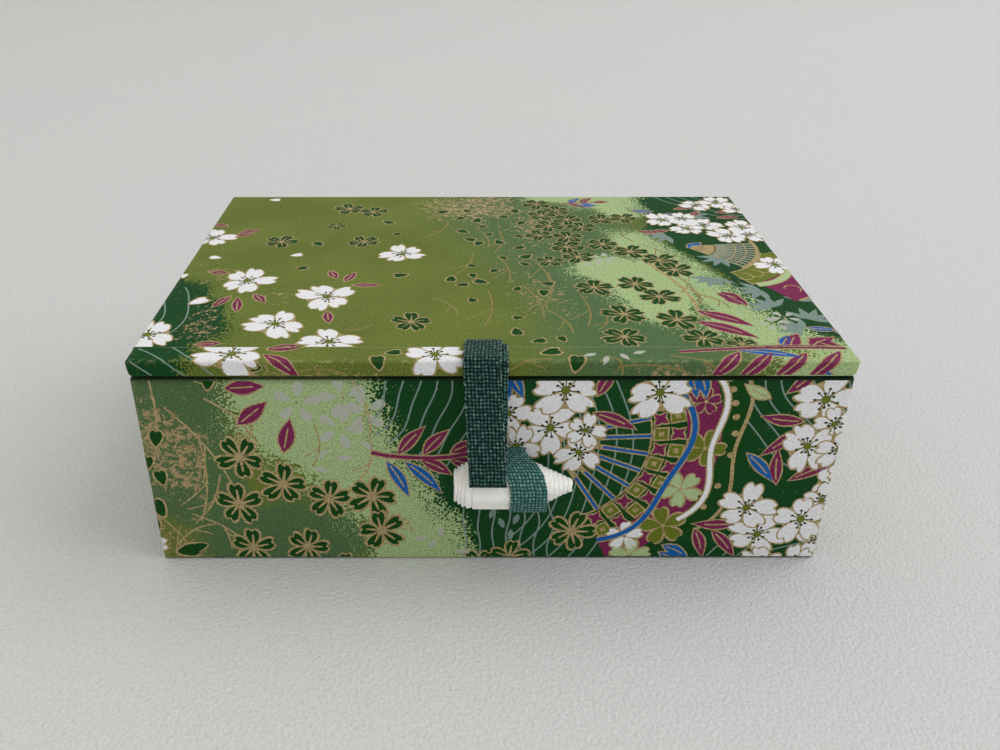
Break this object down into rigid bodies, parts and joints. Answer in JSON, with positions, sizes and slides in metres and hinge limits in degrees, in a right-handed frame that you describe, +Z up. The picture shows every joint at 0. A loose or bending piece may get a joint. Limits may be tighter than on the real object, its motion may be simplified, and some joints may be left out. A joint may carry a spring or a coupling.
{
  "type": "paper-covered box with hinged lid",
  "caption": "Shallow rectangular board box covered in patterned paper, with a flat hinged lid, a cloth strap loop and a rolled-paper toggle in a cloth keeper.",
  "frame": {"origin": "centre of the underside of the tray, on the face that the box stands on", "axes": "+X along the width, to the right of someone facing the front; +Y to the hinge at the back; -Y to the toggle at the front; +Z up"},
  "size_m": [0.14, 0.1087, 0.0497],
  "materials": {
    "greyboard": "raw grey board",
    "printed_paper": "matt screen-printed paper with a fine fibre and gold ink",
    "plain_paper": "matt natural paper",
    "bookcloth": "plain-weave bookcloth, matt",
    "rolled_paper": "tightly rolled white paper"
  },
  "bodies": {
    "tray": {"base_board": "greyboard", "front_wall_board": "greyboard", "back_wall_board": "greyboard", "left_wall_board": "greyboard", "right_wall_board": "greyboard", "tray_wrap_paper": "printed_paper", "tray_bottom_paper": "plain_paper", "wall_lining_paper": "plain_paper", "floor_lining_paper": "plain_paper", "hinge_wall_leaf": "bookcloth", "toggle_keeper": "bookcloth"},
    "lid": {"lid_board": "greyboard", "lid_cover_paper": "printed_paper", "lid_front_strip_paper": "printed_paper", "lid_lining_paper": "plain_paper", "hinge_lid_leaf": "bookcloth", "strap_root": "bookcloth"},
    "strap": {"strap_loop": "bookcloth"},
    "toggle": {"toggle_bead": "rolled_paper"}
  },
  "joints": [
    {"name": "lid_hinge", "type": "hinge", "parent": "tray", "child": "lid", "pos_m": [0, 0.04913, 0.04465], "axis": [-1, 0, 0], "range_deg": [0, 180]},
    {"name": "strap_lift", "type": "hinge", "parent": "lid", "child": "strap", "pos_m": [0, -0.0496, 0.04906], "axis": [-1, 0, 0], "range_deg": [0, 120]},
    {"name": "toggle_roll", "type": "hinge", "parent": "tray", "child": "toggle", "pos_m": [0.004, -0.054, 0.02335], "axis": [1, 0, 0], "continuous": true}
  ]
}
